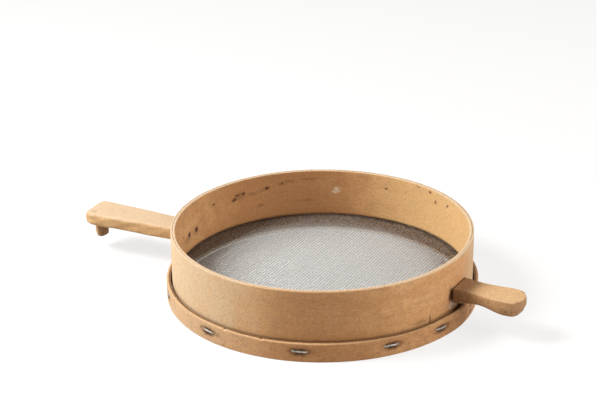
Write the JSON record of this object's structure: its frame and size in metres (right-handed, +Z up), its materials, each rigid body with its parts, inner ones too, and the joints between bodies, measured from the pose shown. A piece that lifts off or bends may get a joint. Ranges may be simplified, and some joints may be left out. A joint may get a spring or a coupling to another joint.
{
  "type": "drum sieve",
  "caption": "Shallow round sieve: bent-wood drum with a fine wire cloth clamped near its foot, a stapled foot hoop, a long flat handle with a hanging peg and a short paddle handle.",
  "frame": {"origin": "on the axis of the drum, in the plane that its foot stands on", "axes": "+Z up along the axis of the drum, +X towards the short handle, the long handle towards -X"},
  "size_m": [0.3725, 0.2388, 0.0535],
  "materials": {
    "beech_drum": "bare sanded beech, waxy with use",
    "beech_liner": "bare beech, darkened with use",
    "beech_foot": "bare beech, darkened with use",
    "beech_long_handle": "bare pale beech, worn edges",
    "beech_short_handle": "bare beech, worn edges",
    "peg_wood": "whittled brown wood",
    "wire_cloth": "fine woven steel wire",
    "steel_staples": "dulled steel",
    "dark_nails": "rusted iron"
  },
  "bodies": {
    "root": {"drum_hoop": "beech_drum", "liner_hoop": "beech_liner", "cloth_warp": "wire_cloth", "cloth_weft": "wire_cloth", "cloth_skirt": "wire_cloth", "foot_hoop": "beech_foot", "foot_staples": "steel_staples", "foot_lap_tacks": "dark_nails", "liner_tacks": "dark_nails", "long_handle": "beech_long_handle", "long_handle_nails": "dark_nails", "handle_peg": "peg_wood", "short_handle": "beech_short_handle", "short_handle_nails": "dark_nails"}
  },
  "joints": []
}
